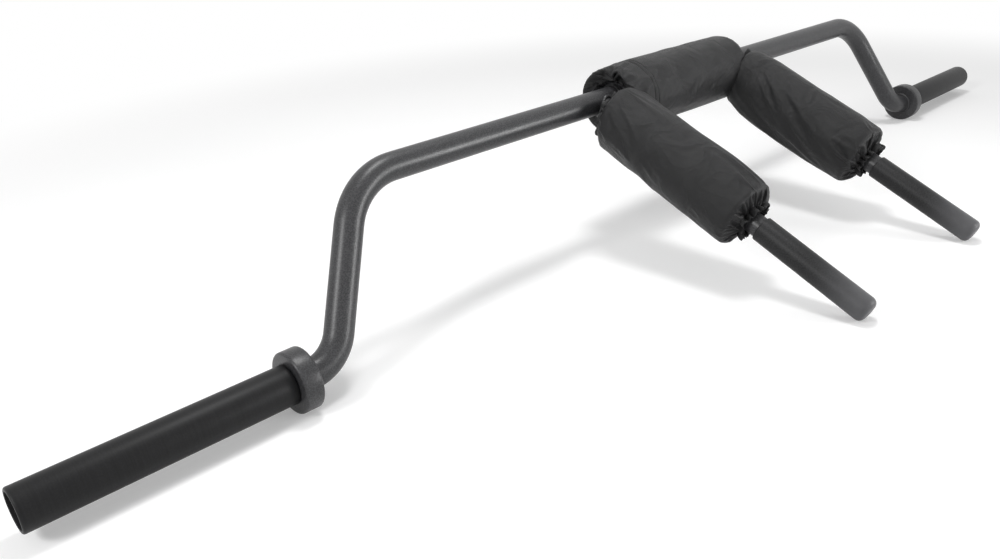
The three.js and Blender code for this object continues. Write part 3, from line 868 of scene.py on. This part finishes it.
def coverRows(look):
    # the flat cloth as a plain tube, and where its pinned rows end up
    draw = random.Random(look["seed"])
    full = widest(look["skin"]) + look["ease"]
    stations = stationsOf(look)
    rear, front = look["hems"]
    centre = (look["rings"][0] + look["rings"][1] - rear + front) / 2
    columns = cover["columns"]
    turns = np.arange(columns) / columns * fullTurn
    pull = math.radians(look["pull"])
    flat = np.zeros((len(stations), columns, 3))
    flat[:, :, 0] = full * np.cos(turns) + look["ease"] * math.cos(pull)
    flat[:, :, 1] = full * np.sin(turns) + look["ease"] * math.sin(pull)
    flat[:, :, 2] = (np.array(stations) - stations[-1] / 2 + centre)[:, None]
    drawn = flat.copy()
    pinned = np.zeros((len(stations), columns))
    for end, direction in ((0, 1), (1, -1)):
        ring = gatheredRing(look, draw, fullTurn * full)
        sways = [draw.random() * fullTurn for _ in range(pleat["sways"])]
        frill = [draw.random() for _ in range(columns)]
        hem, rows = look["hems"][end], hemRows(look, end)
        for step in range(rows + 1):
            row = step if end == 0 else len(stations) - 1 - step
            out = 1 - step / rows
            bell = look["flares"][end] * math.sin(out * math.pi / 2)
            for column, (rise, turn) in enumerate(ring):
                angle = turn + (math.radians(look["twist"]) if end else 0)
                wave = sum(math.sin((k + 2) * turn + s) for k, s in enumerate(sways)) * pleat["swayMm"]
                reach = look["mouth"] + rise * (1 - pleat["riseFall"] * out) + bell
                reach += pleat["frillMm"] * out * frill[column]
                fall = hem - pleat["frillReachMm"] * frill[column]
                along = look["rings"][end] - direction * out * fall * pleat["hemDrawn"] + wave
                across, up = reach * math.cos(angle), reach * math.sin(angle)
                if end == 0:
                    along = tilted(look, across, up, along)
                drawn[row, column] = (across, up, along)
            pinned[row] = 1
    return {"flat": flat, "drawn": drawn, "pinned": pinned, "stations": stations}


def clothMesh(name, look, points, stations):
    mesh = lofted(name, points * mm)
    layer = mesh.uv_layers.new(name="clothMm")
    girth = fullTurn * (widest(look["skin"]) + look["ease"])
    threads = round(girth / nylon["threadMm"] / 2)  # whole turns of the weave, so that it meets itself
    sideways = threads * 2 * nylon["threadMm"] * np.arange(cover["columns"] + 1) / cover["columns"]
    corners = []
    for low, high in zip(stations, stations[1:]):
        for left, right in zip(sideways, sideways[1:]):
            corners += [(left, low), (right, low), (right, high), (left, high)]
    layer.data.foreach_set("uv", np.array(corners, np.float32).ravel())
    return mesh


def readyToSettle(name, look, rows):  # one cover's cloth over its form, ready to simulate
    stations, columns = rows["stations"], cover["columns"]
    scale = cover["simScale"]
    apart = cover["apartMm"] * mm * scale
    turn = Matrix.Rotation(-math.radians(look["pull"]), 4, "Z") @ Matrix.Scale(scale, 4)
    solid = lofted(name + " form", formRings(look), capped=True)
    solid.transform(turn)
    form = newObject(name + " form", solid)
    form.modifiers.new("hit", "COLLISION")
    form.collision.thickness_outer = apart
    form.collision.cloth_friction = cover["friction"]
    group = bpy.data.collections.new(name + " forms")
    group.objects.link(form)
    mesh = clothMesh(name, look, rows["flat"], stations)
    cloth = newObject(name + " cloth", mesh)
    cloth.shape_key_add(name="flat")
    gathered = cloth.shape_key_add(name="gathered")
    gathered.data.foreach_set("co", (rows["drawn"] * mm).astype(np.float32).ravel())
    mesh.transform(turn, shape_keys=True)
    for value, at in ((0, 1), (1, cover["gatherFrames"])):
        gathered.value = value
        gathered.keyframe_insert("value", frame=at)
    pins = cloth.vertex_groups.new(name="pins")
    pins.add([int(i) for i in np.flatnonzero(rows["pinned"].ravel())], 1.0, "REPLACE")
    body = cloth.vertex_groups.new(name="body")  # folds are fine at the hems and broad between them
    for row, station in enumerate(stations):
        fromHem = min(station - look["hems"][0], stations[-1] - look["hems"][1] - station)
        share = smoothShare(cover["hemZoneMm"] / 2, cover["hemZoneMm"], fromHem)
        body.add(list(range(row * columns, (row + 1) * columns)), share, "REPLACE")
    modifier = cloth.modifiers.new("cloth", "CLOTH")
    for label, value in clothSettings.items():
        setattr(modifier.settings, label, value)
    modifier.collision_settings.distance_min = apart / 2
    modifier.collision_settings.use_self_collision = False
    modifier.collision_settings.collection = group
    return {"cloth": cloth, "form": form, "group": group, "turn": turn.inverted(),
            "shape": rows["flat"].shape}


def settledPoints(waiting):  # every cover settles in the same run of frames, pulled along its own +X
    scene.gravity = (cover["pull"], 0, 0)
    for at in range(1, cover["gatherFrames"] + cover["settleFrames"] + 1):
        scene.frame_set(at)
    graph = bpy.context.evaluated_depsgraph_get()
    settled = []
    for each in waiting:
        mesh = bpy.data.meshes.new_from_object(each["cloth"].evaluated_get(graph), depsgraph=graph)
        mesh.transform(each["turn"])
        points = np.zeros(len(mesh.vertices) * 3, np.float32)
        mesh.vertices.foreach_get("co", points)
        settled.append(points.reshape(each["shape"]).astype(float) / mm)
        bpy.data.meshes.remove(mesh)
    for each in waiting:
        bpy.data.objects.remove(each["cloth"])
        bpy.data.objects.remove(each["form"])
        bpy.data.collections.remove(each["group"])
    scene.frame_set(1)
    return settled


# Seams: a groove pressed into the settled cloth, and thread in short stitches along it

seam = {"grooveMm": 1.7, "reachMm": 1.5, "pitchMm": 4.0, "stitchMm": 3.0, "threadMm": 0.6, "liftMm": 0.05,
        "hemMm": 3.6, "finerMm": 7, "finerRows": 3,
        "threadSides": 8, "threadRings": 6, "leastLength": 1e-9}


def stitchTree():
    tree, given = newTree("stitches", {
        "Pitch": "Float", "Stitch Length": "Float", "Thread": "Float", "Finish": "Material"})
    even = evenSteps(tree, given["Geometry"], given["Pitch"])
    spots = addNode(tree, "GeometryNodeCurveToPoints", {"Curve": even}, mode="EVALUATED")
    outward = output(tree, "GeometryNodeInputNamedAttribute", {"Name": "outward"}, data_type="FLOAT_VECTOR")
    turner = "FunctionNodeAlignRotationToVector"
    lying = output(tree, turner, {"Vector": spots.outputs["Tangent"]}, axis="X")
    facing = output(tree, turner, {"Rotation": lying, "Vector": outward}, axis="Z", pivot_axis="X")
    size = output(tree, "ShaderNodeCombineXYZ", {
        0: given["Stitch Length"], 1: given["Thread"], 2: given["Thread"]})
    thread = addNode(tree, "GeometryNodeMeshUVSphere", {
        "Segments": seam["threadSides"], "Rings": seam["threadRings"], "Radius": 0.5})
    laid = output(tree, "GeometryNodeInstanceOnPoints", {
        "Points": spots.outputs["Points"], "Instance": thread.outputs["Mesh"], "Rotation": facing,
        "Scale": size})
    endTree(tree, laid, given["Finish"])
    return tree


stitching = stitchTree()


def outwardOf(points):  # the cloth's outward direction at every point of its grid
    around = np.roll(points, -1, axis=1) - np.roll(points, 1, axis=1)
    down = np.gradient(points, axis=0)
    facing = np.cross(around, down)
    return facing / np.maximum(np.linalg.norm(facing, axis=2, keepdims=True), seam["leastLength"])


def acrossAt(values, points, at):  # the grid's values where every column passes this place along the pad
    line = []
    for column in range(points.shape[1]):
        places = points[:, column, 2]
        row = int(np.argmax(places > at)) - 1
        share = (at - places[row]) / (places[row + 1] - places[row])
        line.append(mix(values[row, column], values[row + 1, column], share))
    return np.array(line)


def seamColumn(look):
    return int(look["seamTurn"] / 360 * cover["columns"]) % cover["columns"]


def seamLines(look, points):
    # (points, outward, closed) beside each elastic, along the neck's panel and each side of the long seam
    facing = outwardOf(points)
    raised = points + facing * seam["liftMm"]
    rear, front = hemRows(look, 0), len(points) - 1 - hemRows(look, 1)
    beyond = round(seam["hemMm"] / cover["endRowMm"])
    rings = (rear - 1, rear + beyond, front + 1, front - beyond)
    lines = [(raised[row], facing[row], True) for row in rings]
    lines += [(acrossAt(raised, points, at), acrossAt(facing, points, at), True) for at in look["panel"]]
    inside = slice(rear + 2 * beyond, front - 2 * beyond)
    for side in (-1, 1):
        beside = (seamColumn(look) + side) % cover["columns"]
        lines.append((raised[inside, beside], facing[inside, beside], False))
    return lines


def withSeamRows(look, points, stations):  # adds rows between those that lie near a seam round the pad
    rows = []
    for row, middle in enumerate(points[:, :, 2].mean(axis=1)):
        near = any(abs(middle - at) < seam["finerMm"] for at in look["panel"])
        rows += [row + i / seam["finerRows"] for i in range(seam["finerRows"] if near else 1)]
    low = np.floor(rows).astype(int)
    high = np.minimum(low + 1, len(points) - 1)
    share = rows - low
    places = np.array(stations)
    return mix(points[low], points[high], share[:, None, None]), mix(places[low], places[high], share)


def pressed(look, points):  # presses the seams' grooves into the cloth
    depth = np.zeros(points.shape[:2])
    inside = slice(hemRows(look, 0) + 2, len(points) - 2 - hemRows(look, 1))
    depth[inside, seamColumn(look)] = seam["grooveMm"] / 2
    for at in look["panel"]:
        depth += seam["grooveMm"] * np.exp(-((points[:, :, 2] - at) / seam["reachMm"]) ** 2)
    return points - outwardOf(points) * depth[:, :, None]


def coverPiece(name, look, points, stations):
    points, stations = withSeamRows(look, points, stations)
    points = pressed(look, points)
    place = look["place"]
    turn = place.to_3x3()
    mesh = clothMesh(name, look, points, stations)
    mesh.transform(place)
    mesh.shade_smooth()
    piece = newObject(name, mesh)
    wall = piece.modifiers.new("wall", "SOLIDIFY")
    wall.thickness = cover["thicknessMm"] * mm
    wall.offset = -1
    finer = piece.modifiers.new("finer", "SUBSURF")
    finer.levels = 1
    finer.render_levels = 1
    dressed(piece, "woven_nylon", "nylon", look["node"])
    finish = "polyester_thread"
    for number, (line, outward, closed) in enumerate(seamLines(look, points), 1):
        path = [place @ Vector(p * mm) for p in line]
        facing = [turn @ Vector(v) for v in outward]
        source = pathObject("seam line", path, closed, facing)
        thread = grown(f"{name}_stitches_{number}", source, stitching, {
            "Pitch": seam["pitchMm"] * mm, "Stitch Length": seam["stitchMm"] * mm,
            "Thread": seam["threadMm"] * mm, "Finish": finishes[finish]})
        dressed(thread, finish, "nylon")


def makeCovers():
    rows = {name: coverRows(look) for name, look in covers.items()}
    shapes = settledPoints([readyToSettle(name, look, rows[name]) for name, look in covers.items()])
    for (name, look), points in zip(covers.items(), shapes):
        coverPiece(name, look, points, rows[name]["stations"])


makeCovers()
print("covers ready")


# Foam inside the covers, the elastics in their hems, and the tape that closes the neck pad

foam = {"bore": 0.3, "neckRadius": 46.5, "neckRounds": (1, 5, 5, 1), "neckSagMm": 2.6, "sagTurn": 249,
        "sagFrom": 1.2, "sagTo": 0.9, "armRadius": 48, "armRounds": (1, 14, 14, 1), "armEnds": (67.5, 296.5),
        "sides": 96}


def makeFoam():
    low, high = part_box("neck_foam")
    bore = shaft["radius"] + foam["bore"]
    body = boredPiece("neck_foam_tube", (low.x / mm, high.x / mm), (bore, foam["neckRadius"]),
                      foam["neckRounds"], foam["sides"], Matrix())
    turn = math.radians(foam["sagTurn"])
    for vertex in body.data.vertices:  # the foam hangs a little below the shaft, its bore does not
        reach = vertex.co.xy.length / mm
        share = smoothShare(bore * foam["sagFrom"], foam["neckRadius"] * foam["sagTo"], reach)
        vertex.co.x += share * foam["neckSagMm"] * mm * math.cos(turn)
        vertex.co.y += share * foam["neckSagMm"] * mm * math.sin(turn)
    body.data.transform(neckPlace)
    dressed(body, "closed_cell_foam", "foam", "neck_foam")
    bore = arm["radius"] + foam["bore"]
    for side, sign in sides.items():
        body = boredPiece(side + "_arm_foam_tube", foam["armEnds"], (bore, foam["armRadius"]),
                          foam["armRounds"], foam["sides"], armPlace(sign))
        dressed(body, "closed_cell_foam", "foam", side + "_arm_foam")


elastic = {"radius": 1.1, "pitch": 2.4, "ripple": -0.25, "neckLine": 20.8, "armLine": 17.4, "neckAt": 148.5,
           "armAt": (52, 312), "sides": 96}


def cordPiece(name, along, radius, place, node):
    line = [place @ Vector(p) for p in circleAt(along, radius, elastic["sides"])]
    finish = "knitted_elastic"
    cord = beadPiece(name, line, elastic["radius"], elastic["pitch"], finish, elastic["ripple"])
    dressed(cord, finish, "elastic", node)


def makeElastics():
    for side, sign in sides.items():
        cordPiece("neck_elastic_cord_" + side, sign * elastic["neckAt"], elastic["neckLine"], neckPlace,
                  "neck_elastic_" + side)
        for label, along in zip(("rear", "front"), elastic["armAt"]):
            cordPiece(f"{side}_arm_elastic_cord_{label}", along, elastic["armLine"], armPlace(sign),
                      f"{side}_arm_elastic_{label}")


strip = {"width": 25, "thickness": 0.8, "steps": 14, "rows": 40, "endRound": 8,
         "inner": {"neck_loop_strip": 50.85, "neck_hook_strip": 52.05}}


def makeStrip(node):  # a strip of tape bent round the foam, with rounded corners
    low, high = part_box(node)
    centre = (low + high) / 2
    middle = math.atan2(centre.z - neckZ, centre.y - neckY)
    inner = strip["inner"][node]
    outer = inner + strip["thickness"]
    half = (high.x - low.x) / 2 / mm
    rings = []
    for row in range(strip["rows"] + 1):
        along = half * -math.cos(math.pi * row / strip["rows"])
        fromEnd = max(0, strip["endRound"] - (half - abs(along)))
        inset = strip["endRound"] - math.sqrt(strip["endRound"] ** 2 - fromEnd ** 2)
        reach = (strip["width"] / 2 - inset) / inner
        turns = [middle + reach * (2 * i / strip["steps"] - 1) for i in range(strip["steps"] + 1)]
        across = [(outer, t) for t in turns] + [(inner, t) for t in reversed(turns)]
        rings.append([neckPlace @ Vector((r * math.cos(t) * mm, r * math.sin(t) * mm, along * mm))
                      for r, t in across])
    piece = newObject(node + "_tape", tidied(lofted(node, rings, capped=True)))
    dressed(piece, "hook_and_loop_tape", "closure", node)


makeFoam()
makeElastics()
makeStrip("neck_loop_strip")
makeStrip("neck_hook_strip")
print("foam, elastics and tape ready")
